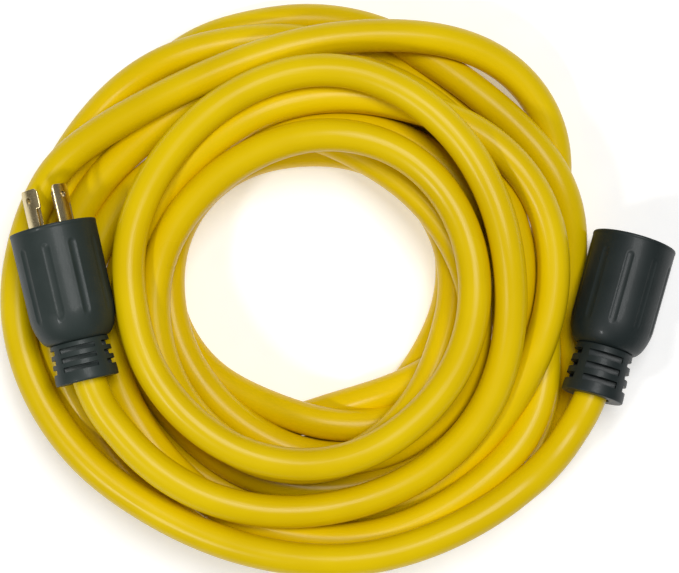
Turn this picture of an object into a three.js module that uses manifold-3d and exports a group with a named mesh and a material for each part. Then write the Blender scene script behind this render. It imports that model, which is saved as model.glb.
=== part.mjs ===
// An 8.6 m, 10 gauge, four-conductor generator cord, coiled flat, with a moulded locking plug on one end
// and the matching connector on the other.
//
// Millimetres, +Z up, the floor at z = 0. The origin is the middle of the whole object's underside.
// Each moulded end is built in its own frame, with +Z out of its face, +X up and +Y to the right of
// somebody who looks down on it with the face pointing away from them.

import * as THREE from 'three';
import { mergeVertices } from 'three/addons/utils/BufferGeometryUtils.js';
import Module from 'manifold-3d';

const wasm = await Module();
wasm.setup();

// ---------------------------------------------------------------- driving dimensions

const GAP = 0.3; // clearance between neighbouring pieces
const CORD_R = 8.75; // 10/4 heavy duty cord, 17.5 mm across
const WIRE_R = 2.6; // one insulated conductor
const WIRE_SIDES = 6;
const WIRE_STEPS = 9;
const STRANDS_R = 1.5; // its bundle of copper strands
const CORD_BORE_R = CORD_R + GAP;
const FLOOR_Z = 0;

const COIL = {
  centre: [-21.6, 1.0],
  innerR: 62,
  outerR: 157,
  height: 42,
  shoulder: 8, // radius of the rounded edges of the pile
  segments: 48,
};
const NEST = 0.6; // clearance of the two moulded ends in the hollows that they press into the coil
const NEST_SEGMENTS = 20;
// degrees over which each end, as it is lifted, is still in its hollow
const PLUG_LIFTS = [0, 1.7, 3.3, 5, 7];
const CONNECTOR_LIFTS = [0, 4, 8, 12, 16, 19, 22, 25];

// The free stretches between the coil and each end, as [radius, degrees, height] about the coil's
// middle. Each starts in line with its sleeve and sinks into the coil.
const PLUG_LEAD = [
  [122.9, 213, 60.0],
  [123.6, 222, 57.4],
  [123.9, 232, 55.0],
  [123.4, 242, 53.2],
  [122.4, 252, 52.0],
  [121.2, 262, 50.6],
  [120.2, 272, 47.2],
  [119.6, 282, 42.0],
  [119.4, 290, 36.0],
  [119.4, 298, 30.0],
];
const CONNECTOR_LEAD = [
  [166.8, 333, 35.6],
  [163.6, 326, 33.0],
  [157.6, 319, 30.2],
  [149.0, 312, 27.6],
  [140.5, 306, 25.6],
];
const LEAD_SIDES = 10;
const LEAD_STEP = 18; // about one diameter, finer than the bends need

// How each end lies: where the middle of its face is, which way it points on the floor, and how far
// its face is tipped towards the floor.
const PLUG_POSE = { face: [-152.0, 30.8, 57.6], heading: 103.3, droop: 2.5 };
const CONNECTOR_POSE = { face: [157.9, 23.8, 25.5], heading: 73.5, droop: 8 };

// The two moulded shells. z is measured from the face, into the shell.
const PLUG_SHELL = { faceR: 23.0, waistR: 22.5, neckZ: -61.2, sleeveLength: 21.3, rowPitch: 5.0, slot: 2.3 };
const CONNECTOR_SHELL = { faceR: 22.8, waistR: 22.4, neckZ: -60.7, sleeveLength: 26.7, rowPitch: 6.8, slot: 3.1 };
const NECK_R = 15.0;
const SLEEVE_NECK_R = 15.4;
const SLEEVE_END_R = 16.7;
const SLEEVE_ROWS = 3;
const SLEEVE_SLOT_WIDTH = 18.6;
const SLEEVE_SLOT_FLOOR_R = 12.6;
const SLEEVE_COLLAR = 6.2; // plain ring behind the last row of slots
const SHELL_SEGMENTS = 32;
const SHOULDER_LENGTH = 15.5; // domed end of a shell, from its waist to its neck
const SHOULDER_STEPS = 5;
const GROOVES = 10;
const GROOVE_CUTTER_R = 3.0;
const GROOVE_DEPTH = 0.9;
const GROOVE_FRONT_Z = -9.5;
const GROOVE_BACK_Z = -48.5;
const SOCKET_R = 19.3; // seat of the hard insert, open at the face
const CHAMBER_R = 17.5; // room for the terminals behind it

// The contact pattern: four curved blades on one circle.
const CONTACT_CIRCLE_R = 12.0;
const BLADE_THICKNESS = 1.8;
const BLADE_REACH = 20.7; // how far a blade stands out of the face
const BLADE_HEAD_LENGTH = 10.6;
const BLADE_HOLE_R = 1.45;
const BLADE_HOLE_FROM_TIP = 5.6;
const BLADE_STEM = [-21, 21]; // degrees either side of the blade's own direction
const BLADE_HEAD = [-21, 32]; // the head hooks out to one side, which is what locks
const BARREL_R = 3.2;
const BARREL_BORE_R = STRANDS_R + 0.35;
const BARREL_LENGTH = 9;
const PIN_ANGLE = { ground: -42, line_x: 48, neutral: 138, line_y: 228 };
const CIRCUITS = ['ground', 'neutral', 'line_x', 'line_y'];

const PLUG_INSERT = { front: -0.8, back: -11.8 };
const CONNECTOR_FACE_PLATE = { front: -0.6, back: -5.6 };
const CONTACT_CARRIER = { front: -5.9, back: -23.5 };
const JACKET_STRIP_Z = -56; // where the jacket stops inside a shell
const JACKET_BORE_R = 6.85;
const BUNDLE_R = 3.95; // circle that the four wires lie on inside the jacket
const STUB_SETBACK = 4.5; // the jacket is parted inside each sleeve, this far ahead of the bend
const LEAD_SETBACK = 0.6; // and starts again this far behind it

// ---------------------------------------------------------------- finishes

const finish = (color, roughness, metalness = 0) => () =>
  new THREE.MeshStandardMaterial({ color, roughness, metalness });

const FINISH = {
  jacket: finish(0xe6c400, 0.32),
  plugShell: finish(0x3b4546, 0.5),
  connectorShell: finish(0x2b3334, 0.5),
  nylon: finish(0x1c1f20, 0.45),
  brass: finish(0xc9b06a, 0.3, 1),
  copper: finish(0xb87350, 0.4, 1),
  wire_ground: finish(0x2e7d3c, 0.45),
  wire_neutral: finish(0xe9e8e2, 0.45),
  wire_line_x: finish(0x1b1b1b, 0.45),
  wire_line_y: finish(0xa82420, 0.45),
};

// ---------------------------------------------------------------- solid modelling helpers

const radians = THREE.MathUtils.degToRad;

function solid(geometry) {
  geometry.deleteAttribute('normal');
  geometry.deleteAttribute('uv');
  const merged = mergeVertices(geometry, 1e-4);
  const vertProperties = new Float32Array(merged.attributes.position.array);
  const triVerts = new Uint32Array(wholeTriangles(merged.index.array));
  if (signedVolume(vertProperties, triVerts) < 0) triVerts.reverse();
  return new wasm.Manifold(new wasm.Mesh({ numProp: 3, vertProperties, triVerts }));
}

// Where a turned profile touches its axis, some triangles have merged to a line, and are dropped.
function wholeTriangles(corners) {
  const kept = [];
  for (let t = 0; t < corners.length; t += 3) {
    const [a, b, c] = [corners[t], corners[t + 1], corners[t + 2]];
    if (a !== b && b !== c && c !== a) kept.push(a, b, c);
  }
  return kept;
}

function signedVolume(points, triangles) {
  let six = 0;
  const at = (i) => new THREE.Vector3().fromArray(points, 3 * i);
  for (let t = 0; t < triangles.length; t += 3) {
    const [a, b, c] = [at(triangles[t]), at(triangles[t + 1]), at(triangles[t + 2])];
    six += a.dot(b.cross(c));
  }
  return six;
}

function geometryOf(manifold) {
  const mesh = manifold.getMesh();
  const geometry = new THREE.BufferGeometry();
  geometry.setAttribute('position', new THREE.BufferAttribute(new Float32Array(mesh.vertProperties), 3));
  geometry.setIndex(new THREE.BufferAttribute(new Uint32Array(mesh.triVerts), 1));
  geometry.computeVertexNormals();
  return geometry;
}

const cut = (body, tools) => tools.reduce((left, tool) => left.subtract(tool), body);
const join = (pieces) => pieces.reduce((all, piece) => all.add(piece));

// A profile of [radius, z] points, closed on itself and turned about Z.
function turned(profile, segments) {
  const loop = [...profile, profile[0]].map(([r, z]) => new THREE.Vector2(r, z));
  return new THREE.LatheGeometry(loop, segments).rotateX(Math.PI / 2);
}

function disc(radius, { front, back }) {
  return solid(bar(radius, back, front, 0, 0, 24));
}

// A ring standing on Z between two heights.
function collar(outerR, boreR, z0, z1, segments) {
  const profile = [
    [boreR, z0],
    [outerR, z0],
    [outerR, z1],
    [boreR, z1],
  ];
  return turned(profile, segments);
}

// A round bar along Z, from z0 to z1, centred on (x, y).
function bar(radius, z0, z1, x = 0, y = 0, sides = 12) {
  const shape = new THREE.CylinderGeometry(radius, radius, z1 - z0, sides).rotateX(Math.PI / 2);
  return shape.translate(x, y, (z0 + z1) / 2);
}

// A curved plate: the part of a ring between two angles, in degrees from +X towards +Y.
function sector(innerR, outerR, fromDeg, toDeg, z0, z1) {
  const shape = new THREE.Shape();
  shape.absarc(0, 0, outerR, radians(fromDeg), radians(toDeg), false);
  shape.absarc(0, 0, innerR, radians(toDeg), radians(fromDeg), true);
  shape.closePath();
  const plate = new THREE.ExtrudeGeometry(shape, { depth: z1 - z0, bevelEnabled: false, curveSegments: 4 });
  return plate.translate(0, 0, z0);
}

// A round section swept along a smooth curve through the points.
function tube(points, radius, sides, steps) {
  const section = new THREE.Shape();
  for (let side = 0; side < sides; side++) {
    const angle = (side / sides) * 2 * Math.PI;
    const [x, y] = [radius * Math.cos(angle), radius * Math.sin(angle)];
    if (side === 0) section.moveTo(x, y);
    else section.lineTo(x, y);
  }
  section.closePath();
  const path = new THREE.CatmullRomCurve3(points.map((p) => new THREE.Vector3(...p)), false, 'centripetal');
  return new THREE.ExtrudeGeometry(section, { extrudePath: path, steps, bevelEnabled: false });
}

// A point from its radius and angle about Z.
function polar(radius, degrees, z) {
  return [radius * Math.cos(radians(degrees)), radius * Math.sin(radians(degrees)), z];
}

// ---------------------------------------------------------------- the scene graph

const assembly = new THREE.Group();

function add(parent, name, shape, material) {
  const geometry = shape.isBufferGeometry ? geometryOf(solid(shape)) : geometryOf(shape);
  const mesh = new THREE.Mesh(geometry, material());
  mesh.name = name;
  parent.add(mesh);
  return mesh;
}

function endFrame({ face, heading, droop }) {
  const level = new THREE.Vector3(Math.cos(radians(heading)), Math.sin(radians(heading)), 0);
  const out = level.multiplyScalar(Math.cos(radians(droop)));
  out.z = -Math.sin(radians(droop));
  const right = out.clone().cross(new THREE.Vector3(0, 0, 1)).normalize();
  const up = right.clone().cross(out);
  const frame = new THREE.Group();
  frame.applyMatrix4(new THREE.Matrix4().makeBasis(up, right, out).setPosition(...face));
  frame.updateMatrixWorld(true);
  assembly.add(frame);
  return frame;
}

// ---------------------------------------------------------------- moulded shells

// Outside of a shell from its face to its neck: nearly straight, then a domed shoulder.
function shellOutline({ faceR, waistR, neckZ }) {
  const outline = [
    [faceR - 0.7, 0],
    [faceR, -0.8],
    [faceR - 0.2, -12],
    [waistR, neckZ + SHOULDER_LENGTH],
  ];
  for (let step = 1; step < SHOULDER_STEPS; step++) {
    const angle = radians((step * 90) / SHOULDER_STEPS);
    const r = NECK_R + (waistR - NECK_R) * Math.cos(angle);
    outline.push([r, neckZ + SHOULDER_LENGTH * (1 - Math.sin(angle) ** 1.3)]);
  }
  return [...outline, [NECK_R, neckZ]];
}

function shellBody(spec, ledgeZ) {
  const chamber = [
    [CORD_BORE_R, spec.neckZ],
    [CORD_BORE_R, JACKET_STRIP_Z],
    [CHAMBER_R, -41],
    [CHAMBER_R, ledgeZ],
    [SOCKET_R, ledgeZ],
    [SOCKET_R, 0],
  ];
  const body = solid(turned([...shellOutline(spec), ...chamber], SHELL_SEGMENTS));
  const cutters = [];
  for (let groove = 0; groove < GROOVES; groove++) {
    const [x, y] = polar(spec.waistR + GROOVE_CUTTER_R - GROOVE_DEPTH, -8 + (groove * 360) / GROOVES, 0);
    cutters.push(solid(bar(GROOVE_CUTTER_R, GROOVE_BACK_Z, GROOVE_FRONT_Z, x, y, 8)));
  }
  return cut(body, cutters);
}

// The cord bends at the middle of its sleeve.
function bendZ({ neckZ, sleeveLength }) {
  return neckZ - sleeveLength / 2;
}

// The bend relief behind the neck: a sleeve with rows of slots on four sides.
function reliefSleeve(spec) {
  const front = spec.neckZ - GAP;
  const back = spec.neckZ - spec.sleeveLength;
  const profile = [
    [CORD_BORE_R, front],
    [SLEEVE_NECK_R, front],
    [SLEEVE_END_R, back + SLEEVE_COLLAR / 2],
    [SLEEVE_END_R, back],
    [CORD_BORE_R, back],
  ];
  const sleeve = solid(turned(profile, 24));
  const slots = [];
  for (let row = 0; row < SLEEVE_ROWS; row++) {
    const z = back + SLEEVE_COLLAR + spec.slot / 2 + row * spec.rowPitch;
    for (const side of [0, 90, 180, 270]) {
      const slot = new THREE.BoxGeometry(8, SLEEVE_SLOT_WIDTH, spec.slot);
      slot.translate(SLEEVE_SLOT_FLOOR_R + 4, 0, z).rotateZ(radians(side));
      slots.push(solid(slot));
    }
  }
  return cut(sleeve, slots);
}

// ---------------------------------------------------------------- conductors

// A wire's run inside a shell: along the cord's middle, then out to its terminal.
function wireRun(angle, fromZ, terminalZ, tipZ) {
  const spread = terminalZ - JACKET_STRIP_Z;
  const run = [
    polar(BUNDLE_R, angle, fromZ),
    polar(BUNDLE_R, angle, (fromZ + JACKET_STRIP_Z) / 2),
    polar(BUNDLE_R + 0.2, angle, JACKET_STRIP_Z),
    polar(BUNDLE_R + 2.2, angle, JACKET_STRIP_Z + 0.28 * spread),
    polar(CONTACT_CIRCLE_R - 2.6, angle, JACKET_STRIP_Z + 0.58 * spread),
    polar(CONTACT_CIRCLE_R - 0.4, angle, JACKET_STRIP_Z + 0.85 * spread),
    polar(CONTACT_CIRCLE_R, angle, terminalZ),
  ];
  if (tipZ !== undefined) run.push(polar(CONTACT_CIRCLE_R, angle, tipZ));
  return run;
}

// The four conductors and the end of the jacket that they come out of. The strands stand a little
// proud of their insulation at both ends, and reach into the crimp barrels.
function addConductors(frame, end, spec, barrelBackZ) {
  const jacketEndZ = bendZ(spec) + STUB_SETBACK;
  for (const circuit of CIRCUITS) {
    const angle = PIN_ANGLE[circuit];
    const insulationEndZ = barrelBackZ - 1.2;
    const core = wireRun(angle, jacketEndZ - 0.5, insulationEndZ, barrelBackZ + BARREL_LENGTH - 1);
    const sheath = solid(tube(wireRun(angle, jacketEndZ, insulationEndZ), WIRE_R, WIRE_SIDES, WIRE_STEPS));
    const hollow = solid(tube(core, BARREL_BORE_R, WIRE_SIDES, WIRE_STEPS));
    add(frame, `${end}_wire_${circuit}`, cut(sheath, [hollow]), FINISH[`wire_${circuit}`]);
    add(frame, `${end}_strands_${circuit}`, tube(core, STRANDS_R, WIRE_SIDES, WIRE_STEPS), FINISH.copper);
  }
  const jacket = collar(CORD_R, JACKET_BORE_R, jacketEndZ, JACKET_STRIP_Z, 16);
  add(frame, `${end}_jacket_end`, jacket, FINISH.jacket);
}

function barrel(angle, z0, z1) {
  const [x, y] = polar(CONTACT_CIRCLE_R, angle, 0);
  const shell = solid(bar(BARREL_R, z0, z1, x, y, 10));
  return cut(shell, [solid(bar(BARREL_BORE_R, z0 - 1, z1 - 0.8, x, y, 8))]);
}

// ---------------------------------------------------------------- plug

const plug = endFrame(PLUG_POSE);
const halfBlade = BLADE_THICKNESS / 2;
const BLADE_TAIL_Z = PLUG_INSERT.back - 1.5;

function blade(circuit) {
  const angle = PIN_ANGLE[circuit];
  const plate = ([from, to], z0, z1) =>
    solid(sector(CONTACT_CIRCLE_R - halfBlade, CONTACT_CIRCLE_R + halfBlade, angle + from, angle + to, z0, z1));
  const pieces = [
    plate(BLADE_STEM, BLADE_TAIL_Z, BLADE_REACH - 1),
    plate(BLADE_HEAD, BLADE_REACH - BLADE_HEAD_LENGTH, BLADE_REACH),
    barrel(angle, BLADE_TAIL_Z - BARREL_LENGTH, BLADE_TAIL_Z + 0.5),
  ];
  if (circuit === 'ground') {
    // the earth blade alone has an inward fold down one edge
    const fold = new THREE.BoxGeometry(3.4, BLADE_THICKNESS, BLADE_REACH - BLADE_TAIL_Z);
    fold.translate(CONTACT_CIRCLE_R - 2.2, 0, (BLADE_REACH + BLADE_TAIL_Z) / 2);
    pieces.push(solid(fold.rotateZ(radians(angle + BLADE_STEM[0] + 4))));
  }
  const hole = new THREE.CylinderGeometry(BLADE_HOLE_R, BLADE_HOLE_R, 8, 8).rotateZ(Math.PI / 2);
  hole.translate(CONTACT_CIRCLE_R, 0, BLADE_REACH - BLADE_HOLE_FROM_TIP).rotateZ(radians(angle + 5));
  return cut(join(pieces), [solid(hole)]);
}

function bladeSlot(circuit) {
  const angle = PIN_ANGLE[circuit];
  const { front, back } = PLUG_INSERT;
  const room = halfBlade + GAP;
  const [from, to] = [angle + BLADE_STEM[0] - 1.6, angle + BLADE_STEM[1] + 1.6];
  const slots = [solid(sector(CONTACT_CIRCLE_R - room, CONTACT_CIRCLE_R + room, from, to, back - 1, front + 1))];
  if (circuit === 'ground') {
    const fold = new THREE.BoxGeometry(4.2, BLADE_THICKNESS + 2 * GAP, 20);
    fold.translate(CONTACT_CIRCLE_R - 2.3, 0, -8);
    slots.push(solid(fold.rotateZ(radians(angle + BLADE_STEM[0] + 4))));
  }
  return join(slots);
}

add(plug, 'plug_body', shellBody(PLUG_SHELL, PLUG_INSERT.back - GAP), FINISH.plugShell);
add(plug, 'plug_strain_relief', reliefSleeve(PLUG_SHELL), FINISH.plugShell);
const bladeCarrier = cut(disc(SOCKET_R - GAP, PLUG_INSERT), CIRCUITS.map(bladeSlot));
add(plug, 'plug_blade_carrier', bladeCarrier, FINISH.nylon);
for (const circuit of CIRCUITS) add(plug, `plug_blade_${circuit}`, blade(circuit), FINISH.brass);
addConductors(plug, 'plug', PLUG_SHELL, BLADE_TAIL_Z - BARREL_LENGTH);

// ---------------------------------------------------------------- connector

const connector = endFrame(CONNECTOR_POSE);
const CONTACT_WEB_Z = CONTACT_CARRIER.back + 0.4; // the web closes the contact behind its carrier

function faceSlot(circuit) {
  const angle = PIN_ANGLE[circuit];
  const { front, back } = CONNECTOR_FACE_PLATE;
  const slots = [solid(sector(CONTACT_CIRCLE_R - 1.5, CONTACT_CIRCLE_R + 1.5, angle - 25, angle + 35, back - 1, front + 1))];
  if (circuit === 'ground') {
    const fold = new THREE.BoxGeometry(4.4, 3.0, 9);
    fold.translate(CONTACT_CIRCLE_R - 2.8, 0, (front + back) / 2);
    slots.push(solid(fold.rotateZ(radians(angle - 17))));
  }
  return join(slots);
}

function contactPocket(circuit) {
  const angle = PIN_ANGLE[circuit];
  const { front, back } = CONTACT_CARRIER;
  return solid(sector(CONTACT_CIRCLE_R - 3, CONTACT_CIRCLE_R + 3, angle - 27, angle + 37, back - 1, front + 1));
}

// A female contact: two curved leaves that pinch the blade, a back web and a crimp barrel.
function contact(circuit) {
  const angle = PIN_ANGLE[circuit];
  const leaf = (innerR, outerR, z0, z1) => solid(sector(innerR, outerR, angle - 23, angle + 32, z0, z1));
  const leafFrontZ = CONTACT_CARRIER.front - 0.8;
  return join([
    leaf(CONTACT_CIRCLE_R - 2.5, CONTACT_CIRCLE_R - 1.7, CONTACT_WEB_Z, leafFrontZ),
    leaf(CONTACT_CIRCLE_R + 1.7, CONTACT_CIRCLE_R + 2.5, CONTACT_WEB_Z, leafFrontZ),
    leaf(CONTACT_CIRCLE_R - 2.5, CONTACT_CIRCLE_R + 2.5, CONTACT_WEB_Z - 1.2, CONTACT_WEB_Z + 0.1),
    barrel(angle, CONTACT_WEB_Z - 1 - BARREL_LENGTH, CONTACT_WEB_Z - 0.9),
  ]);
}

const connectorShell = shellBody(CONNECTOR_SHELL, CONTACT_CARRIER.back - GAP);
const facePlate = cut(disc(SOCKET_R - GAP, CONNECTOR_FACE_PLATE), CIRCUITS.map(faceSlot));
const contactCarrier = cut(disc(SOCKET_R - GAP, CONTACT_CARRIER), CIRCUITS.map(contactPocket));
add(connector, 'connector_body', connectorShell, FINISH.connectorShell);
add(connector, 'connector_strain_relief', reliefSleeve(CONNECTOR_SHELL), FINISH.connectorShell);
add(connector, 'connector_face', facePlate, FINISH.nylon);
add(connector, 'connector_contact_carrier', contactCarrier, FINISH.nylon);
for (const circuit of CIRCUITS) add(connector, `connector_contact_${circuit}`, contact(circuit), FINISH.brass);
addConductors(connector, 'connector', CONNECTOR_SHELL, CONTACT_WEB_Z - 1 - BARREL_LENGTH);

// ---------------------------------------------------------------- cord

// The room that a moulded end takes in the coil, in the coil's own frame, when it is lifted by some degrees.
function nest(frame, spec, lift = 0) {
  const backZ = spec.neckZ - spec.sleeveLength;
  const envelope = [
    [0, NEST],
    ...shellOutline(spec).map(([r, z]) => [r + NEST, z + (z === 0 ? NEST : 0)]),
    [SLEEVE_END_R + NEST, spec.neckZ - 1],
    [SLEEVE_END_R + NEST, backZ - NEST],
    [0, backZ - NEST],
  ];
  const hinge = new THREE.Matrix4().makeTranslation(0, 0, bendZ(spec));
  const lifted = frame.matrixWorld.clone();
  lifted.multiply(hinge);
  lifted.multiply(new THREE.Matrix4().makeRotationY(radians(lift)));
  lifted.multiply(hinge.invert());
  return solid(turned(envelope, NEST_SEGMENTS)).transform(lifted.elements);
}

function coilProfile({ innerR, outerR, height, shoulder }, grow = 0) {
  const profile = [
    [innerR + 4, FLOOR_Z],
    [outerR - 4, FLOOR_Z],
    [outerR, FLOOR_Z + 5],
  ];
  for (const degrees of [0, 30, 60, 90]) {
    const [x, y] = polar(shoulder, degrees, 0);
    profile.push([outerR - shoulder + x, height - shoulder + y]);
  }
  for (const degrees of [90, 60, 30, 0]) {
    const [x, y] = polar(shoulder, degrees, 0);
    profile.push([innerR + shoulder - x, height - shoulder + y]);
  }
  profile.push([innerR, FLOOR_Z + 5]);
  const middle = (innerR + outerR) / 2;
  return profile.map(([r, z]) => [r + Math.sign(r - middle) * grow, z + (z > FLOOR_Z ? grow : -grow)]);
}

function coilRing(grow) {
  const ring = turned(coilProfile(COIL, grow), COIL.segments);
  return solid(ring.translate(...COIL.centre, 0));
}

// A lead runs out of its sleeve and along the given points until the coil swallows it.
function lead(frame, spec, stations) {
  const outOfSleeve = [0, 6, 14].map((along) => {
    const z = along === 0 ? bendZ(spec) - LEAD_SETBACK : spec.neckZ - spec.sleeveLength - along + 6;
    return frame.localToWorld(new THREE.Vector3(0, 0, z)).toArray();
  });
  const around = stations.map(([r, degrees, z]) => {
    const [x, y] = polar(r, degrees, z);
    return [x + COIL.centre[0], y + COIL.centre[1], z];
  });
  const route = [...outOfSleeve, ...around];
  const length = new THREE.CatmullRomCurve3(route.map((p) => new THREE.Vector3(...p))).getLength();
  const cord = solid(tube(route, CORD_R, LEAD_SIDES, Math.ceil(length / LEAD_STEP)));
  return cut(cord, [coilRing(GAP)]);
}

const plugNests = PLUG_LIFTS.map((lift) => nest(plug, PLUG_SHELL, lift));
const connectorNests = CONNECTOR_LIFTS.map((lift) => nest(connector, CONNECTOR_SHELL, lift));
const nests = [...plugNests, ...connectorNests];
add(assembly, 'cord_coil', cut(coilRing(0), nests), FINISH.jacket);
add(assembly, 'cord_plug_lead', lead(plug, PLUG_SHELL, PLUG_LEAD), FINISH.jacket);
add(assembly, 'cord_connector_lead', lead(connector, CONNECTOR_SHELL, CONNECTOR_LEAD), FINISH.jacket);

export default assembly;
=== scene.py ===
# %% [markdown]
# # Extension cord with locking plug and connector
#
# A thick yellow cord lies in a loose coil of twelve and a third turns. Its slate coloured plug rests on top
# at the left and its connector leans on the coil at the right. The CAD frame gives the sizes and the joints,
# and each piece made here takes the place of a plain CAD node. All but the two sleeves ride on a body.

# %% Load the frame
import math

import bpy
import numpy as np
from mathutils import Matrix, Vector


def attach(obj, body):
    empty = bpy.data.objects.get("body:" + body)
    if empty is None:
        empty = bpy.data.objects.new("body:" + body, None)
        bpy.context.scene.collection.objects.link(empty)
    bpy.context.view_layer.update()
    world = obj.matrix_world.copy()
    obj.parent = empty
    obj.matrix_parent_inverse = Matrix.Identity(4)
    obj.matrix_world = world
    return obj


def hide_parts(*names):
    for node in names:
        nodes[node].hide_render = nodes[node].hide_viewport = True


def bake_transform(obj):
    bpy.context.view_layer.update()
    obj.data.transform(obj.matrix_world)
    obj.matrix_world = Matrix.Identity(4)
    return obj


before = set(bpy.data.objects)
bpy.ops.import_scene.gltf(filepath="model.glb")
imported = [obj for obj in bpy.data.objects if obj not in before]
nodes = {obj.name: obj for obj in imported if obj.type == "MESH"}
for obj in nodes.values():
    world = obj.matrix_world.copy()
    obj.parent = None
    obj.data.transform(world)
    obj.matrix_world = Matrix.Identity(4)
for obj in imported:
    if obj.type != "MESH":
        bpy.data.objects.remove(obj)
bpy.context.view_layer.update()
MM = 0.001
print("frame:", len(nodes), "nodes")

# %% [markdown]
# ## Camera
#
# The coil is seen from straight above with a long lens, a little to the left of its middle, so the turns that
# lie higher look slightly bigger and the sides of the pile stay out of sight.

# %% Set up the camera
camera = bpy.data.objects.new("camera", bpy.data.cameras.new("camera"))
bpy.context.scene.collection.objects.link(camera)
camera.location = (-0.00135, -0.00027, 1.2)
camera.data.sensor_width = 36
camera.data.lens = 115.4
camera.data.clip_start = 0.05
bpy.context.scene.camera = camera
bpy.context.scene.view_settings.view_transform = "Standard"
print("camera at", tuple(camera.location))

# %% [markdown]
# ## Light
#
# A dim even surround fills the shade, and the floor gives off a little light of its own, so that it stays
# white. One small soft box at the lower left draws the narrow highlight that runs along each turn, and a wide
# one overhead gives the dark mouldings their broad sheen.

# %% Light the studio and lay the floor
world = bpy.data.worlds.new("surround")
world.use_nodes = True
world.node_tree.nodes["Background"].inputs["Color"].default_value = (1, 1, 1, 1)
world.node_tree.nodes["Background"].inputs["Strength"].default_value = 0.16
bpy.context.scene.world = world


def soft_box(name, place, width, height, watts):
    data = bpy.data.lights.new(name, "AREA")
    data.shape, data.size, data.size_y, data.energy = "RECTANGLE", width, height, watts
    lamp = bpy.data.objects.new(name, data)
    bpy.context.scene.collection.objects.link(lamp)
    lamp.location = place
    lamp.rotation_euler = (-Vector(place)).to_track_quat("-Z", "Y").to_euler()


soft_box("key soft box", (-0.98, -0.70, 1.5), 0.24, 0.18, 10)
soft_box("overhead soft box", (0.35, 0.45, 2.1), 1.0, 0.8, 30)


def material(name, rough, metal=0.0, coat=0.0, specular=0.5):
    made = bpy.data.materials.new(name)
    made.use_nodes = True
    shader = made.node_tree.nodes["Principled BSDF"]
    shader.inputs["Roughness"].default_value = rough
    shader.inputs["Metallic"].default_value = metal
    shader.inputs["Coat Weight"].default_value = coat
    shader.inputs["Coat Roughness"].default_value = 0.12
    shader.inputs["Specular IOR Level"].default_value = specular
    return made, made.node_tree, shader


def node(tree, kind, **inputs):
    made = tree.nodes.new("ShaderNode" + kind)
    for key, value in inputs.items():
        made.inputs[key.replace("_", " ")].default_value = value
    return made


def surface(name, dark, light, rough, grain, bump, metal=0.0, coat=0.0, specular=0.5, stretch=(1, 1, 1),
            mottle=40):
    """A finish of two tones in soft patches, with a fine grain in relief and in its roughness."""
    made, tree, shader = material(name, rough, metal, coat, specular)
    link = tree.links.new
    coords = node(tree, "TexCoord")
    stretched = node(tree, "Mapping")
    stretched.inputs["Scale"].default_value = stretch
    link(coords.outputs["Object"], stretched.inputs["Vector"])
    patches = node(tree, "TexNoise", Scale=mottle, Detail=4.0)
    fine = node(tree, "TexNoise", Scale=grain, Detail=3.0)
    link(coords.outputs["Object"], patches.inputs["Vector"])
    link(stretched.outputs["Vector"], fine.inputs["Vector"])
    tones = node(tree, "ValToRGB")
    low, high = tones.color_ramp.elements
    low.position, low.color = 0.32, (*dark, 1)
    high.position, high.color = 0.68, (*light, 1)
    link(patches.outputs["Fac"], tones.inputs["Fac"])
    link(tones.outputs["Color"], shader.inputs["Base Color"])
    spread = node(tree, "MapRange")
    spread.inputs["To Min"].default_value = rough * 0.85
    spread.inputs["To Max"].default_value = rough * 1.2
    link(fine.outputs["Fac"], spread.inputs["Value"])
    link(spread.outputs["Result"], shader.inputs["Roughness"])
    relief = node(tree, "Bump", Strength=bump, Distance=0.0002)
    link(fine.outputs["Fac"], relief.inputs["Height"])
    link(relief.outputs["Normal"], shader.inputs["Normal"])
    return made


bpy.ops.mesh.primitive_plane_add(size=12, location=(0, 0, 0))
floor = bpy.context.object
floor.name = "floor"
white = surface("white floor", (0.88, 0.88, 0.88), (0.92, 0.92, 0.92), 0.7, 300, 0.05, specular=0.2)
lit = white.node_tree.nodes["Principled BSDF"].inputs
lit["Emission Color"].default_value, lit["Emission Strength"].default_value = (1, 1, 1, 1), 0.27
floor.data.materials.append(white)

# %% [markdown]
# ## The cord's route
#
# One length of cord, followed from the plug to the connector. Each row is one turn, as stations of angle in
# degrees round the coil, distance from its middle and height of the centreline, in millimetres. The turns
# wander in and out and cross over one another, as a cord does when it is thrown down in loops. They are
# written out as a table here. Turns worked out by a loop from a few sizes would read better, and are the way
# to prefer.

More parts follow.
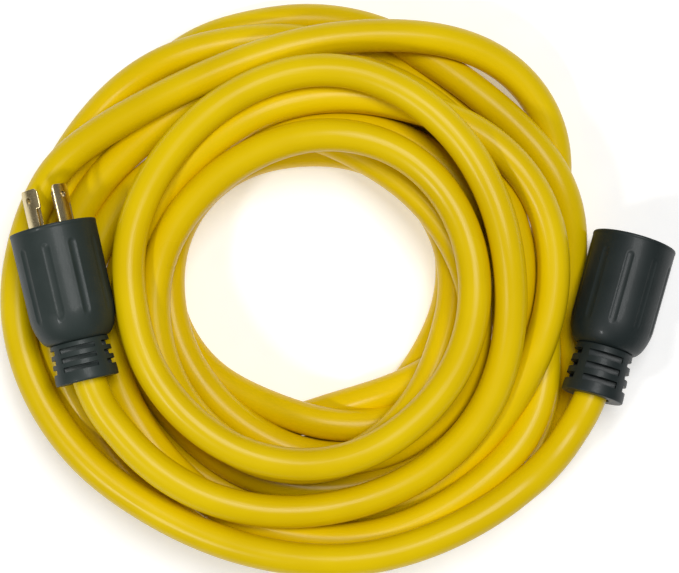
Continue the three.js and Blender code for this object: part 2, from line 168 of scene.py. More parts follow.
# %% Write down the turns
CENTRE = np.array([-21.6, 1.0])
TURNS = [
    [(215,123,58),(225,124,56),(240,124,54),(255,123,54),(270,121,54),(285,120,54),(300,120,54),
     (315,120,54),(330,118,54),(345,114,54),(360,111,54),(375,111,54),(390,112,54),(405,114,54),
     (420,115,54),(435,116,54),(450,113,54),(465,107,54),(480,102,54),(495,98,54),(510,96,54),
     (525,95,54),(540,95,54),(555,94,52)],
    [(210,93,52),(230,93,54),(250,95,56),(270,96,57),(290,96,57),(310,94,57),(330,94,57),(350,93,58),
     (370,92,58),(390,91,58),(410,89,57),(430,84,56),(450,79,55),(470,74,54),(490,73,52),(510,74,49),
     (530,78,45),(550,82,41),(562,85,38)],
    [(215,88,35),(230,92,33),(245,96,32),(260,99,32),(275,100,32),(283,99,31),(290,97,30),(300,94,28),
     (315,90,26),(330,87,26),(345,85,26),(360,84,26),(380,83,26),(395,82,26),(410,80,25),(425,78,24),
     (440,76,23),(455,74,23),(470,74,24),(485,75,25),(500,75,27),(520,74,28),(540,72,28),(560,74,27)],
    [(220,76,27),(240,80,27),(255,85,28),(270,91,28),(282,96,28),(295,99,30),(310,100,34),(325,98,38),
     (340,95,41),(360,90,42),(375,85,42),(390,81,41),(405,78,39),(420,77,37),(435,77,33),(450,79,28),
     (470,81,20),(490,81,13),(510,78,10),(530,75,9),(550,74,9)],
    [(210,74,9),(225,72,10),(240,69,12),(255,69,12),(270,72,10),(282,77,9),(295,84,9),(310,90,9),
     (330,94,9),(360,99,9),(390,102,9),(420,104,9),(440,106,9),(455,112,12),(472,123,18),(490,134,22),
     (510,138,24),(530,138,24),(550,133,22)],
    [(210,125,18),(230,115,12),(245,106,10),(260,97,9),(271,92,9),(280,87,9),(295,82,9),(315,79,9),
     (335,79,9),(360,83,9),(390,88,9),(420,91,9),(450,92,9),(480,92,9),(510,92,10),(540,95,12),
     (555,100,15)],
    [(205,106,18),(220,113,22),(240,123,24),(255,131,24),(275,139,24),(295,144,26),(310,145,28),
     (320,144,28),(330,139,27),(340,133,26),(360,124,25),(380,114,25),(398,104,26),(410,99,26),
     (425,91,26),(440,85,26),(460,84,26),(480,91,26),(500,101,25),(515,109,24),(530,113,22),(550,111,18)],
    [(210,106,13),(230,108,14),(250,117,18),(270,126,24),(285,131,30),(300,132,36),(315,130,38),
     (330,130,40),(345,132,41),(360,135,41),(375,135,41),(390,129,40),(405,120,39),(420,110,38),
     (435,104,39),(450,99,40),(465,95,40),(480,91,39),(500,89,36),(520,91,30),(540,95,24)],
    [(200,98,17),(220,100,12),(240,105,11),(260,110,16),(275,113,22),(290,116,30),(305,118,35),
     (320,118,37),(340,116,38),(360,117,38),(380,119,38),(400,121,38),(420,121,37),(440,121,34),
     (460,122,28),(477,119,23),(492,117,22),(505,121,22),(520,128,23),(540,136,24)],
    [(200,138,22),(215,137,15),(235,141,10),(260,145,9),(290,150,9),(315,157,9),(330,163,9),(340,166,9),
     (350,163,10),(365,156,13),(380,153,17),(390,148,22),(400,143,25),(410,140,26),(422,139,24),
     (440,141,17),(460,144,10),(475,145,9),(490,142,9),(510,137,9),(530,132,9),(550,125,9)],
    [(210,114,9),(230,101,9),(250,88,9),(265,76,9),(278,70,9),(290,70,9),(300,73,9),(310,77,10),
     (325,82,12),(340,88,14),(355,100,13),(370,110,11),(390,123,9),(405,130,9),(420,133,10),(435,133,12),
     (450,131,14),(460,132,17),(475,138,20),(495,143,24),(510,142,20),(530,141,14),(550,140,10)],
    [(220,141,9),(250,140,9),(280,143,9),(305,149,11),(323,150,13),(337,149,14),(350,143,12),
     (360,139,10),(370,143,9),(377,149,9),(385,158,10),(392,162,12),(400,164,16),(410,161,24),
     (420,152,34),(430,142,42),(440,134,45),(450,128,45),(460,123,44),(470,121,42),(480,121,41),
     (490,124,40),(500,130,40),(510,137,40),(520,145,38),(530,150,34),(540,154,30),(552,155,27)],
    [(205,153,26),(220,149,27),(235,144,27),(250,143,27),(265,144,27),(280,148,27),(295,151,27),
     (310,156,30),(325,163,34)],
]
CORD_D = 17.5
print("turns:", len(TURNS), "stations:", sum(len(turn) for turn in TURNS))


# %% Find where each end lies
class End:
    """A moulded end's own frame, as in the CAD: +Z out of the face, +X up and +Y to the right."""

    def __init__(self, face, heading, droop, face_r, waist_r, neck_z, sleeve, pitch, slot):
        h, d = math.radians(heading), math.radians(droop)
        self.out = Vector((math.cos(d) * math.cos(h), math.cos(d) * math.sin(h), -math.sin(d)))
        self.right = self.out.cross(Vector((0, 0, 1))).normalized()
        self.up = self.right.cross(self.out)
        self.face = Vector(face)
        self.face_r, self.waist_r, self.neck_z = face_r, waist_r, neck_z
        self.sleeve, self.pitch, self.slot = sleeve, pitch, slot
        turn = Matrix((self.up, self.right, self.out)).transposed().to_4x4()
        self.matrix = Matrix.Translation(self.face * MM) @ turn @ Matrix.Scale(MM, 4)

    def along(self, z):
        """The point on the axis at z millimetres, negative behind the face."""
        return np.array(self.face + self.out * z)

    @property
    def hinge(self):
        return self.neck_z - self.sleeve / 2


PLUG = End((-152.0, 30.8, 57.6), 103.3, 2.5, 23.0, 22.5, -61.2, 21.3, 5.0, 2.3)
CONNECTOR = End((157.9, 23.8, 25.5), 73.5, 8, 22.8, 22.4, -60.7, 26.7, 6.8, 3.1)
ENDS = {"plug": PLUG, "connector": CONNECTOR}
for name, end in ENDS.items():
    print(name, "hinge at", end.along(end.hinge).round(1))

# %% [markdown]
# ## Letting the cord settle
#
# The stations are joined by a smooth line, cut into steps of 7.5 mm. Then the line settles: each point sinks
# under its weight, is pushed off the strands that it touches, the floor and the two moulded ends, and is kept
# from bending tighter than a cord this stiff can.


# %% Settle the route
def through(a, v, at):
    """A smooth line through stations, with slopes from their neighbours."""
    slope = np.gradient(v, a)
    i = np.clip(np.searchsorted(a, at) - 1, 0, len(a) - 2)
    h = a[i + 1] - a[i]
    t = (at - a[i]) / h
    return ((2 * t**3 - 3 * t**2 + 1) * v[i] + (t**3 - 2 * t**2 + t) * h * slope[i]
            + (3 * t**2 - 2 * t**3) * v[i + 1] + (t**3 - t**2) * h * slope[i + 1])


STEP = 7.5
STRAIGHT = (0.6, 5, 10.6, 16, 22)
angle = np.array([a + 360 * turn for turn, stations in enumerate(TURNS) for a, _, _ in stations], float)
radius = np.array([r for stations in TURNS for _, r, _ in stations], float)
height = np.array([z for stations in TURNS for _, _, z in stations], float)
fine = np.arange(angle[0], angle[-1] + 0.1, 1.0)
r, z = through(angle, radius, fine), through(angle, height, fine)
coil = np.stack([CENTRE[0] + r * np.cos(np.radians(fine)), CENTRE[1] + r * np.sin(np.radians(fine)), z], 1)
start = [PLUG.along(PLUG.hinge - s) for s in STRAIGHT]
finish = [CONNECTOR.along(CONNECTOR.hinge - s) for s in reversed(STRAIGHT)]
route = np.vstack([start, coil, finish])


def respaced(line, step):
    run = np.r_[0, np.cumsum(np.linalg.norm(np.diff(line, axis=0), axis=1))]
    at = np.linspace(0, run[-1], int(round(run[-1] / step)) + 1)
    return np.stack([np.interp(at, run, line[:, k]) for k in range(3)], 1)


route = respaced(route, STEP)
for _ in range(6):
    route[1:-1] = 0.5 * route[1:-1] + 0.25 * (route[:-2] + route[2:])

solids = []
for end in (PLUG, CONNECTOR):
    back = end.neck_z - end.sleeve
    solids += [(end.along(0), end.along(-49.5), 23.2, 22.8), (end.along(-49.5), end.along(-61), 22.0, 15.5),
               (end.along(-61), end.along(back), 15.6, 16.9)]
solids.append((PLUG.along(0), PLUG.along(21), 14.5, 14.5))


def push_out(q, free, near_solid):
    for k, (a, b, ra, rb) in enumerate(solids):
        i = near_solid[k]
        axis = b - a
        t = np.clip((q[i] - a) @ axis / (axis @ axis), 0, 1)
        gap = q[i] - (a + t[:, None] * axis)
        dist = np.linalg.norm(gap, axis=1)
        wanted = ra + (rb - ra) * t + CORD_D / 2 + 0.15
        hit = (dist < wanted) & free[i]
        q[i[hit]] += gap[hit] / dist[hit][:, None] * (wanted - dist)[hit][:, None] * 0.7


# How near the middle, and how far out, the strands of the pile lie at each angle in degrees. These are
# written out too, and keep the pile from spreading as it settles.
INSIDE = np.array([(0,83.5),(30,83.5),(60,79),(90,75.3),(120,75.8),(150,77.5),(180,73.7),(210,74.8),
                   (240,69.3),(270,67.1),(300,72.6),(330,78.6)]).T
OUTSIDE = np.array([(0,153.3),(20,151.1),(36,143.2),(45,141),(60,141.5),(70,144.5),(90,145.6),(117,140.4),
                    (135,144.3),(160,147.8),(190,156.8),(210,153.3),(240,144.5),(270,147.5),(300,149.4),
                    (315,147.3),(330,149.4)]).T


def unbend(q, free, force=0.5):
    """Eases every bend that is tighter than 74 mm, over one to five steps of the line."""
    moved = np.zeros_like(q)
    for reach in (1, 2, 3, 5):
        most = (STEP * reach) ** 2 / (2 * 74.0)
        sag = 0.5 * (q[:-2 * reach] + q[2 * reach:]) - q[reach:-reach]
        depth = np.linalg.norm(sag, axis=1)
        fix = force * sag * (np.maximum(depth - most, 0) / np.maximum(depth, 1e-9))[:, None]
        moved[:] = 0
        moved[reach:-reach] += fix
        moved[:-2 * reach] -= 0.5 * fix
        moved[2 * reach:] -= 0.5 * fix
        q[free] += moved[free]


def settle(q, rounds):
    aim, n = q.copy(), len(q)
    aim_r = np.hypot(*(aim[:, :2] - CENTRE).T)
    run = np.r_[0, np.cumsum(np.linalg.norm(np.diff(q, axis=0), axis=1))]
    free = (run > 26) & (run < run[-1] - 30)
    loose = np.flatnonzero((run > 70) & (run < run[-1] - 70))
    first, second = np.triu_indices(n, 8)
    for turn in range(rounds):
        if turn % 10 == 0:
            gap = q[first] - q[second]
            close = (gap * gap).sum(1) < (CORD_D + 12) ** 2
            i, j = first[close], second[close]
            near_solid = []
            for a, b, ra, rb in solids:
                axis = b - a
                t = np.clip((q[loose] - a) @ axis / (axis @ axis), 0, 1)
                near_solid.append(loose[np.linalg.norm(q[loose] - a - t[:, None] * axis, axis=1) < ra + 22])
        if turn < rounds * 0.6:
            pull, weight = 0.16, 0.25
        elif turn < rounds * 0.85:
            pull, weight = 0.08, 0.14
        else:
            pull, weight = 0.02, 0.04
        q[:, 2] -= weight
        q[:, :2] += pull * (aim[:, :2] - q[:, :2])
        for _ in range(3):
            gap = q[i] - q[j]
            dist = np.linalg.norm(gap, axis=1)
            hit = dist < CORD_D - 0.1
            a, b = i[hit], j[hit]
            away = gap[hit] / np.maximum(dist[hit], 1e-6)[:, None]
            push = away * (0.35 * (CORD_D - 0.1 - dist[hit]))[:, None]
            yields = 0.5 + 0.4 * np.clip((q[b, 2] - q[a, 2]) / 8, -1, 1)
            total = np.zeros_like(q)
            for k in range(3):
                first_share, second_share = (yields, 1 - yields) if k < 2 else (1, 1)
                total[:, k] = np.bincount(a, push[:, k] * first_share, n)
                total[:, k] -= np.bincount(b, push[:, k] * second_share, n)
            count = np.bincount(a, minlength=n) + np.bincount(b, minlength=n)
            q += total / np.maximum(count, 1)[:, None] * 1.6
            push_out(q, free, near_solid)
            flat = q[:, :2] - CENTRE
            out = np.hypot(flat[:, 0], flat[:, 1])
            at = np.degrees(np.arctan2(flat[:, 1], flat[:, 0]))
            low = np.minimum(np.interp(at, *INSIDE, period=360), aim_r)
            high = np.maximum(np.interp(at, *OUTSIDE, period=360), aim_r + 0.5)
            q[:, :2] = CENTRE + flat * (np.clip(out, low, high) / out)[:, None]
            q[:, 2] = np.maximum(q[:, 2], CORD_D / 2)
            q[~free] = aim[~free]
        off = q - aim
        for _ in range(2):
            off[1:-1, :2] = 0.6 * off[1:-1, :2] + 0.2 * (off[:-2, :2] + off[2:, :2])
        q[:, :2] = aim[:, :2] + off[:, :2]
        level = q[:, 2].copy()
        for _ in range(4):
            level[1:-1] = 0.5 * level[1:-1] + 0.25 * (level[:-2] + level[2:])
        q[:, 2] = level
        unbend(q, free)
        q[:, 2] = np.maximum(q[:, 2], CORD_D / 2)
        q[~free] = aim[~free]
    for _ in range(4):
        even = q.copy()
        even[1:-1] = 0.5 * q[1:-1] + 0.25 * (q[:-2] + q[2:])
        q[free] = even[free]
    by_an_end = free & ((run < 150) | (run > run[-1] - 150))
    for _ in range(150):
        unbend(q, by_an_end, 0.9)
    return q


route = settle(route, 520)


def bend_radius(q):
    a, b = q[1:-1] - q[:-2], q[2:] - q[1:-1]
    la, lb = np.linalg.norm(a, axis=1), np.linalg.norm(b, axis=1)
    turn = np.arccos(np.clip((a * b).sum(1) / la / lb, -1, 1))
    return 0.5 * (la + lb) / np.maximum(turn, 1e-6)


first, second = np.triu_indices(len(route), 8)
apart = np.linalg.norm(route[first] - route[second], axis=1)
bends = bend_radius(route)
print("points", len(route), "top", route[:, 2].max().round(1), "closest", apart.min().round(1))
print("tightest bend", bends.min().round(1), "5% are under", np.percentile(bends, 5).round(1))
print("pairs under 15.5:", int((apart < 15.5).sum()), "under 13.5:", int((apart < 13.5).sum()))
del first, second, apart

# %% [markdown]
# ## The cord
#
# A round jacket is swept along the settled line, in a frame that is carried along without twisting. Its map
# runs in metres along the cord and once round it, so the finish can follow the jacket.

# %% Finishes of the cord
yellow, tree, shader = material("yellow jacket", 0.30, specular=0.19)
link = tree.links.new
coords = node(tree, "TexCoord")
patches = node(tree, "TexNoise", Scale=16.0, Detail=3.0)
link(coords.outputs["Object"], patches.inputs["Vector"])
tones = node(tree, "ValToRGB")
deep, bright = tones.color_ramp.elements
deep.position, deep.color = 0.35, (0.72, 0.497, 0.0, 1)
bright.position, bright.color = 0.65, (0.79, 0.562, 0.0, 1)
link(patches.outputs["Fac"], tones.inputs["Fac"])
link(tones.outputs["Color"], shader.inputs["Base Color"])
drawn = node(tree, "Mapping")
drawn.inputs["Scale"].default_value = (14, 9, 1)
link(coords.outputs["UV"], drawn.inputs["Vector"])
ripple = node(tree, "TexNoise", Scale=2.2, Detail=3.0)
link(drawn.outputs["Vector"], ripple.inputs["Vector"])
pores = node(tree, "TexNoise", Scale=900.0, Detail=2.0)
link(coords.outputs["Object"], pores.inputs["Vector"])
soft = node(tree, "Bump", Strength=0.22, Distance=0.0006)
link(ripple.outputs["Fac"], soft.inputs["Height"])
small = node(tree, "Bump", Strength=0.10, Distance=0.0001)
link(pores.outputs["Fac"], small.inputs["Height"])
link(soft.outputs["Normal"], small.inputs["Normal"])
link(small.outputs["Normal"], shader.inputs["Normal"])
sheen = node(tree, "MapRange")
sheen.inputs["To Min"].default_value, sheen.inputs["To Max"].default_value = 0.22, 0.36
link(patches.outputs["Fac"], sheen.inputs["Value"])
link(sheen.outputs["Result"], shader.inputs["Roughness"])
print("material", yellow.name)


# %% Sweep the jacket along the line
def smooth_line(q, parts):
    """More points between the settled ones, on a Catmull-Rom line through them."""
    p = np.vstack([2 * q[0] - q[1], q, 2 * q[-1] - q[-2]])
    a, b, c, d = p[:-3], p[1:-2], p[2:-1], p[3:]
    made = []
    for t in np.arange(parts) / parts:
        made.append(0.5 * (2 * b + (c - a) * t + (2 * a - 5 * b + 4 * c - d) * t**2
                           + (3 * b - a - 3 * c + d) * t**3))
    return np.vstack([np.stack(made, 1).reshape(-1, 3), q[-1]])


centreline = smooth_line(route, 2) * MM
SIDES = 24


def tube(name, line, radius, sides):
    tangent = np.gradient(line, axis=0)
    tangent /= np.linalg.norm(tangent, axis=1)[:, None]
    across = np.zeros_like(line)
    side = np.cross(tangent[0], [0, 0, 1.0])
    for k, t in enumerate(tangent):
        side = side - t * (side @ t)
        side /= np.linalg.norm(side)
        across[k] = side
    other = np.cross(tangent, across)
    turn = np.arange(sides) / sides * 2 * math.pi
    cosine, sine = np.cos(turn)[None, :, None], np.sin(turn)[None, :, None]
    rings = line[:, None] + radius * (cosine * across[:, None] + sine * other[:, None])
    count = len(line)
    k, s = np.meshgrid(np.arange(count - 1), np.arange(sides), indexing="ij")
    k, s = k.ravel(), s.ravel()
    nxt = (s + 1) % sides
    quads = np.stack([k * sides + s, k * sides + nxt, (k + 1) * sides + nxt, (k + 1) * sides + s], 1)
    first_cap = list(range(sides))[::-1]
    last_cap = [(count - 1) * sides + corner for corner in range(sides)]
    mesh = bpy.data.meshes.new(name)
    mesh.from_pydata(rings.reshape(-1, 3).tolist(), [], quads.tolist() + [first_cap, last_cap])
    run = np.r_[0, np.cumsum(np.linalg.norm(np.diff(line, axis=0), axis=1))]
    uv = mesh.uv_layers.new(name="UVMap")
    u = np.stack([run[k], run[k], run[k + 1], run[k + 1]], 1).ravel()
    v = np.stack([s, s + 1, s + 1, s], 1).ravel() / sides
    flat = np.zeros(2 * len(mesh.loops))
    flat[: 2 * len(u)] = np.stack([u, v], 1).ravel()
    uv.data.foreach_set("uv", flat)
    mesh.polygons.foreach_set("use_smooth", [True] * (len(mesh.polygons) - 2) + [False] * 2)
    mesh.update()
    made = bpy.data.objects.new(name, mesh)
    bpy.context.scene.collection.objects.link(made)
    return made, run[-1]


cord, cord_length = tube("cord", centreline, CORD_D / 2 * MM, SIDES)
bpy.ops.object.select_all(action="DESELECT")
bpy.context.view_layer.objects.active = cord
cord.select_set(True)
bpy.ops.object.mode_set(mode="EDIT")
bpy.ops.mesh.select_all(action="SELECT")
bpy.ops.mesh.normals_make_consistent(inside=False)
bpy.ops.object.mode_set(mode="OBJECT")
cord.data.materials.append(yellow)
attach(cord, "coil")
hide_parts("cord_coil", "cord_plug_lead", "cord_connector_lead")
print("cord", round(cord_length, 3), "m,", len(cord.data.polygons), "faces")

# %% [markdown]
# ## Finishes of the mouldings and the metal
#
# The mouldings are satin and nearly black, and a fine grain in relief breaks up their sheen. The grain of the
# brass and of the copper is stretched one way. The pieces inside the two ends keep their CAD shape and only
# take a finish.

# %% Make the finishes
slate = surface("plug moulding", (0.019, 0.029, 0.026), (0.026, 0.037, 0.034), 0.48, 1400, 0.22,
                coat=0.05, specular=0.3, mottle=60)
charcoal = surface("connector moulding", (0.009, 0.015, 0.015), (0.014, 0.021, 0.021), 0.48, 1400, 0.22,
                   coat=0.05, specular=0.3, mottle=60)
nylon = surface("black nylon", (0.010, 0.011, 0.012), (0.016, 0.017, 0.018), 0.38, 1100, 0.15, mottle=90)
brass = surface("brushed brass", (0.62, 0.50, 0.27), (0.76, 0.64, 0.38), 0.26, 700, 0.18,
                metal=1.0, stretch=(6, 6, 1), mottle=120)
copper = surface("copper strands", (0.62, 0.30, 0.17), (0.80, 0.42, 0.25), 0.35, 900, 0.5,
                 metal=1.0, stretch=(5, 5, 1), mottle=400)
COLOURS = {"ground": (0.02, 0.20, 0.05), "neutral": (0.78, 0.77, 0.72), "line_x": (0.012, 0.012, 0.012),
           "line_y": (0.38, 0.016, 0.014)}
insulation = {}
for circuit, colour in COLOURS.items():
    lighter = tuple(min(1, c * 1.25 + 0.004) for c in colour)
    insulation[circuit] = surface(circuit + " insulation", colour, lighter, 0.42, 800, 0.12, coat=0.1)


def paint(obj, finish):
    """Puts one finish on every material slot of an object."""
    if not obj.material_slots:
        obj.data.materials.append(finish)
    for slot in obj.material_slots:
        slot.material = finish


for name, obj in nodes.items():
    finish_for = None
    if "_wire_" in name:
        finish_for = insulation[name.split("_wire_")[1]]
    elif "_strands_" in name:
        finish_for = copper
    elif "_contact_carrier" in name:
        finish_for = nylon
    elif "_contact_" in name:
        finish_for = brass
    elif "_jacket_end" in name:
        finish_for = yellow
    if finish_for:
        paint(obj, finish_for)
print("finishes:", len(bpy.data.materials))

# %% [markdown]
# ## Ways of shaping
#
# A moulded piece starts as the line of its profile, which is spun round its axis in edit mode. Everything is
# made in the end's own frame in millimetres and then set down in its place in one move of the mesh.


# %% Shaping steps
def only(obj):
    if bpy.context.object and bpy.context.object.mode != "OBJECT":
        bpy.ops.object.mode_set(mode="OBJECT")
    bpy.ops.object.select_all(action="DESELECT")
    bpy.context.view_layer.objects.active = obj
    obj.select_set(True)


def edit(obj):
    only(obj)
    bpy.ops.object.mode_set(mode="EDIT")
    bpy.ops.mesh.select_all(action="SELECT")


def done():
    bpy.ops.object.mode_set(mode="OBJECT")


def clean(obj, near=0.001):
    edit(obj)
    bpy.ops.mesh.remove_doubles(threshold=near)
    bpy.ops.mesh.normals_make_consistent(inside=False)
    done()


def spun(name, profile, steps, closed=True):
    """A profile of (radius, height) points spun once round the axis."""
    mesh = bpy.data.meshes.new(name)
    n = len(profile)
    sides = [(k, (k + 1) % n) for k in range(n if closed else n - 1)]
    mesh.from_pydata([(r, 0, z) for r, z in profile], sides, [])
    obj = bpy.data.objects.new(name, mesh)
    bpy.context.scene.collection.objects.link(obj)
    edit(obj)
    bpy.ops.mesh.spin(steps=steps, angle=2 * math.pi, center=(0, 0, 0), axis=(0, 0, 1))
    done()
    clean(obj)
    return obj


def fillet(profile, r, parts=3):
    """The profile, with each corner that has a third value rounded off by it."""
    made, n = [], len(profile)
    for k, point in enumerate(profile):
        if len(point) < 3:
            made.append(point)
            continue
        p = np.array(point[:2], float)
        a = np.array(profile[k - 1][:2], float) - p
        b = np.array(profile[(k + 1) % n][:2], float) - p
        la, lb = np.linalg.norm(a), np.linalg.norm(b)
        reach = min(point[2], la / 2, lb / 2)
        a, b = p + a / la * reach, p + b / lb * reach
        for t in np.linspace(0, 1, parts + 2):
            made.append(tuple((1 - t) ** 2 * a + 2 * t * (1 - t) * p + t * t * b))
    return made


def cut_away(obj, cutter):
    """Cuts a piece with another and removes the cutter."""
    only(obj)
    step = obj.modifiers.new("cut", "BOOLEAN")
    step.operation, step.object, step.solver = "DIFFERENCE", cutter, "EXACT"
    bpy.ops.object.modifier_apply(modifier=step.name)
    bpy.data.objects.remove(cutter)


def soften(obj, width, segments=2, angle=35):
    """Rounds the sharp edges of a piece by a width in millimetres."""
    only(obj)
    step = obj.modifiers.new("edges", "BEVEL")
    step.width, step.segments = width, segments
    step.limit_method, step.angle_limit = "ANGLE", math.radians(angle)
    step.use_clamp_overlap = True
    bpy.ops.object.modifier_apply(modifier=step.name)


def set_down(obj, end, body, finish_with, *replaced, slot=None, smooth=35):
    """Moves a shaped piece to its place and gives it its body, finish and CAD nodes."""
    obj.data.transform(ENDS[end].matrix)
    obj.data.update()
    only(obj)
    bpy.ops.object.shade_smooth_by_angle(angle=math.radians(smooth))
    obj.data.materials.clear()
    obj.data.materials.append(finish_with)
    if body:
        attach(obj, body)
    if replaced:
        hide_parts(*replaced)
    print(f"{obj.name}: {len(obj.data.polygons)} faces")
    return obj


# %% [markdown]
# ## The moulded bodies
#
# Both are nearly straight barrels with a crisp rim, a domed shoulder and a narrow neck, and ten long shallow
# flutes for grip. Only the colour and a few tenths of a millimetre differ.

# %% Shape the bodies
FLUTES, FLUTE_R, FLUTE_DEPTH = 10, 4.6, 0.5


def moulded_body(end_name, finish_with, slot):
    end = ENDS[end_name]
    neck = end.neck_z
    outline = [(22.2, 0), (end.face_r - 0.25, -0.12), (end.face_r, -0.6), (end.face_r, -1.5),
               (end.face_r - 0.18, -1.8), (end.face_r - 0.15, -2.6)]
    for z in np.arange(-3.2, neck + 15.4, -0.62):
        t = (-z - 3.2) / (-neck - 15.5 - 3.2)
        outline.append((end.face_r - 0.15 + (end.waist_r - end.face_r + 0.15) * t, float(z)))
    for step in range(1, 18):
        a = math.radians(step * 90 / 18)
        outline.append((15.0 + (end.waist_r - 15.0) * math.cos(a), neck + 15.5 * (1 - math.sin(a) ** 1.3)))
    outline += [(15.02, neck + 0.25), (14.8, neck), (9.05, neck), (9.05, -56), (17.5, -41)]
    ledge = -12.1 if end_name == "plug" else -23.8
    outline += [(17.5, ledge), (19.3, ledge), (19.3, -0.5), (19.7, -0.05), (20.0, 0)]
    body = spun(end_name + "_moulded_body", outline, 300)
    co = np.zeros(3 * len(body.data.vertices))
    body.data.vertices.foreach_get("co", co)
    co = co.reshape(-1, 3)
    r, a = np.hypot(co[:, 0], co[:, 1]), np.degrees(np.arctan2(co[:, 1], co[:, 0]))
    around = np.radians((a + 8 + 18) % 36 - 18) * 22.7
    beyond = np.maximum(np.maximum(co[:, 2] + 9.5 + 2.1, -49.3 + 2.1 - co[:, 2]), 0)
    away = np.hypot(around, beyond)
    depth = np.sqrt(np.maximum(FLUTE_R**2 - away**2, 0)) - (FLUTE_R - FLUTE_DEPTH)
    depth = np.where((r > 21.0) & (away < 2.2), np.maximum(depth, 0), 0)
    edge = np.exp(-((away - 2.3) / 0.35) ** 2) * 0.06 * (r > 21.0)
    co[:, :2] *= ((r - depth + edge) / r)[:, None]
    body.data.vertices.foreach_set("co", co.ravel())
    return set_down(body, end_name, end_name, finish_with, end_name + "_body", slot=slot, smooth=50)


moulded_body("plug", slate, "plug_moulding")
connector_body = moulded_body("connector", charcoal, "connector_moulding")

# %% [markdown]
# ## The strain reliefs
#
# Each is a tapered sleeve with three rows of four slots, which let it bend, and a plain collar at the cord's
# end.


# %% Shape the sleeves
SLOT_WIDTH, SLOT_FLOOR_R, COLLAR = 18.6, 10.3, 6.2


def box_cutter(x, y, z, centre, turn):
    bpy.ops.object.select_all(action="DESELECT")
    bpy.ops.mesh.primitive_cube_add(size=1)
    cube = bpy.context.object
    cube.data.transform(Matrix.Diagonal((x, y, z, 1)))
    soften(cube, 0.3, 2, 30)
    cube.data.transform(Matrix.Rotation(math.radians(turn), 4, "Z") @ Matrix.Translation(centre))
    return cube


def joined(parts, name):
    bpy.ops.object.select_all(action="DESELECT")
    for part in parts:
        part.select_set(True)
    bpy.context.view_layer.objects.active = parts[0]
    if len(parts) > 1:
        bpy.ops.object.join()
    parts[0].name = name
    return parts[0]


def strain_relief(end_name, finish_with, slot):
    end = ENDS[end_name]
    front, back = end.neck_z - 0.15, end.neck_z - end.sleeve
    profile = fillet([(9.05, front), (15.4, front, 0.5), (16.7, back + 3.1, 1.0), (16.7, back, 0.9),
                      (9.3, back, 0.5), (9.05, back + 1)], 1)
    sleeve = spun(end_name + "_relief", profile, 96)
    cutters = []
    for row in range(3):
        middle = (SLOT_FLOOR_R + 4.5, 0, back + COLLAR + end.slot / 2 + row * end.pitch)
        for side in (0, 90, 180, 270):
            cutters.append(box_cutter(9, SLOT_WIDTH, end.slot * 1.15, middle, side))
    cut_away(sleeve, joined(cutters, "slots"))
    clean(sleeve, 0.005)
    set_down(sleeve, end_name, None, finish_with, slot=slot, smooth=32)
    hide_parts(end_name + "_strain_relief")
    tuple(end.along(back) * MM)
    tuple(end.along(end.neck_z) * MM)
    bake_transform(sleeve)
    return sleeve


strain_relief("plug", slate, "plug_moulding")
connector_sleeve = strain_relief("connector", charcoal, "connector_moulding")

# %% [markdown]
# ## Blades, faces and slots
# The blades are drawn flat, cut with planes so that they can bend, and wrapped round the circle that the
# contacts lie on. The slots for them are cut with small rectangles spun part of the way round that circle.

# %% Draw, wrap and place the blades
CIRCLE, PINS = 12.0, {"ground": -42, "line_x": 48, "neutral": 138, "line_y": 228}


def flat_plate(name, outline, holes, thick, bevel):
    """A flat plate from an outline of (angle in degrees, height), with round holes, lying in the XY plane."""
    curve = bpy.data.curves.new(name, "CURVE")
    curve.dimensions, curve.fill_mode = "2D", "BOTH"
    curve.extrude, curve.bevel_depth, curve.bevel_resolution = thick / 2 - bevel, bevel, 1
    curve.offset = -bevel

    def ring(points):
        spline = curve.splines.new("POLY")
        spline.points.add(len(points) - 1)
        for k, (x, y) in enumerate(points):
            spline.points[k].co = (x, y, 0, 1)
        spline.use_cyclic_u = True

    ring([(math.radians(a) * CIRCLE, z) for a, z in outline])
    for a, z, r in holes:
        around = np.arange(28) / 28 * 2 * math.pi
        ring([(math.radians(a) * CIRCLE + r * math.cos(t), z + r * math.sin(t)) for t in around])
    obj = bpy.data.objects.new(name, curve)
    bpy.context.scene.collection.objects.link(obj)
    only(obj)
    bpy.ops.object.convert(target="MESH")
    return bpy.context.object


def wrap(obj, pin):
    """Cuts the plate across every few degrees and bends it round the contact circle."""
    edit(obj)
    for a in np.arange(-32, 40, 4.0):
        bpy.ops.mesh.select_all(action="SELECT")
        bpy.ops.mesh.bisect(plane_co=(math.radians(a) * CIRCLE, 0, 0), plane_no=(1, 0, 0))
    done()
    co = np.array([v.co for v in obj.data.vertices])
    a, r = co[:, 0] / CIRCLE + math.radians(pin), CIRCLE + co[:, 2]
    for v, x, y, z in zip(obj.data.vertices, r * np.cos(a), r * np.sin(a), co[:, 1]):
        v.co = (x, y, z)
    clean(obj)
    return obj


def rounded(points, radius, parts=4):
    return [(p[0], p[1]) for p in fillet([(a, z, radius) for a, z in points], radius, parts)]


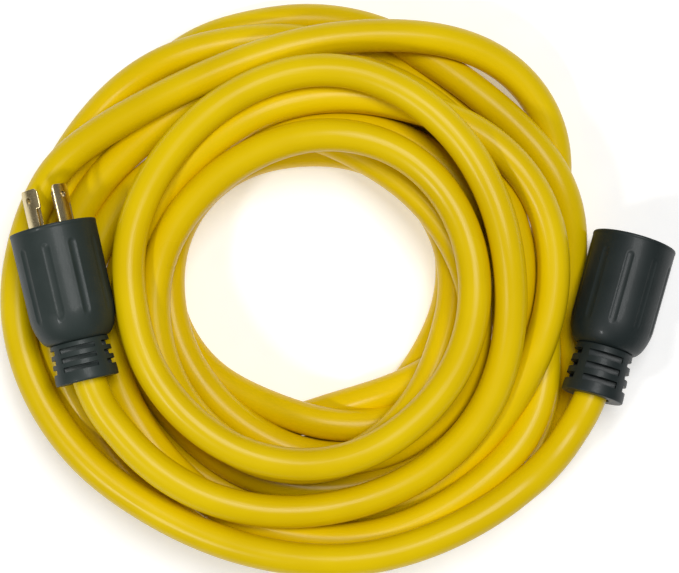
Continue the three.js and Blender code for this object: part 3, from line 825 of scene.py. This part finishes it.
TAIL, REACH, HEAD, STEM, HOOK = -13.3, 20.7, 10.6, 21, 32
for circuit, pin in PINS.items():
    outline = [(-STEM, TAIL), (STEM, TAIL), (STEM, REACH - HEAD), (HOOK, REACH - HEAD), (HOOK, REACH - 1.6),
               (HOOK - 6, REACH), (-16, REACH), (-STEM, REACH - 1.8)]
    outline = rounded([(math.radians(a) * CIRCLE, z) for a, z in outline], 0.7)
    outline = [(math.degrees(x / CIRCLE), z) for x, z in outline]
    plate = wrap(flat_plate("blade", outline, [(5, REACH - 5.6, 1.45)], 1.8, 0.22), pin)
    parts = [plate]
    if circuit == "ground":
        fold = box_cutter(3.2, 1.8, REACH - TAIL - 1, (CIRCLE - 2.2, 0, (REACH + TAIL) / 2), pin - 17)
        parts.append(fold)
    wall = fillet([(1.85, TAIL - 9), (3.2, TAIL - 9, 0.4), (3.2, TAIL + 0.5, 0.3), (0.6, TAIL + 0.5),
                   (0.6, TAIL - 0.6), (1.85, TAIL - 0.6)], 1)
    barrel = spun("barrel", wall, 40)
    toward = math.radians(pin)
    barrel.data.transform(Matrix.Translation((CIRCLE * math.cos(toward), CIRCLE * math.sin(toward), 0)))
    parts.append(barrel)
    blade = joined(parts, "plug_pin_" + circuit)
    set_down(blade, "plug", "plug", brass, "plug_blade_" + circuit, slot="brass", smooth=30)


# %% Shape the two faces
def slot_cutter(pin, low, high, half, z0, z1, fold):
    """A curved bar to cut a blade's slot with: a small rectangle spun part of the way round."""
    near, far = CIRCLE - half, CIRCLE + half
    mesh = bpy.data.meshes.new("slot")
    mesh.from_pydata([(near, 0, z0), (far, 0, z0), (far, 0, z1), (near, 0, z1)], [], [(0, 1, 2, 3)])
    bar = bpy.data.objects.new("slot", mesh)
    bpy.context.scene.collection.objects.link(bar)
    bar.data.transform(Matrix.Rotation(math.radians(pin + low), 4, "Z"))
    edit(bar)
    bpy.ops.mesh.spin(steps=16, angle=math.radians(high - low), center=(0, 0, 0), axis=(0, 0, 1))
    done()
    clean(bar)
    return [bar] + ([box_cutter(*fold, pin - 17)] if fold else [])


def face_plate(name, front, back, low, high, half, finish_with, node_name, end_name, fold):
    """A round insert with a shallow ring and dish in its front, cut through for the four blades."""
    rim = 19.0
    profile = fillet([(0, back), (rim, back, 0.3), (rim, front, 0.7), (17.2, front), (16.9, front - 0.35),
                      (16.2, front - 0.35), (15.9, front), (3.6, front, 0.2), (3.3, front - 0.8, 0.2),
                      (0, front - 0.8)], 1)
    plate = spun(name, profile, 120, closed=False)
    for circuit, pin in PINS.items():
        notch = fold if circuit == "ground" else None
        for part in slot_cutter(pin, low, high, half, back - 1, front + 1, notch):
            cut_away(plate, part)
    clean(plate, 0.005)
    soften(plate, 0.18, 2, 40)
    return set_down(plate, end_name, end_name, finish_with, node_name, slot="black_nylon", smooth=30)


face_plate("blade_insert", -0.8, -11.8, -22.6, 22.6, 1.2, nylon, "plug_blade_carrier", "plug",
           (4.2, 2.4, 14, (CIRCLE - 2.3, 0, -6.3)))
face = face_plate("connector_front", -0.6, -5.6, -25, 35, 1.5, nylon, "connector_face", "connector",
                  (4.4, 3.0, 9, (CIRCLE - 2.8, 0, -3.1)))
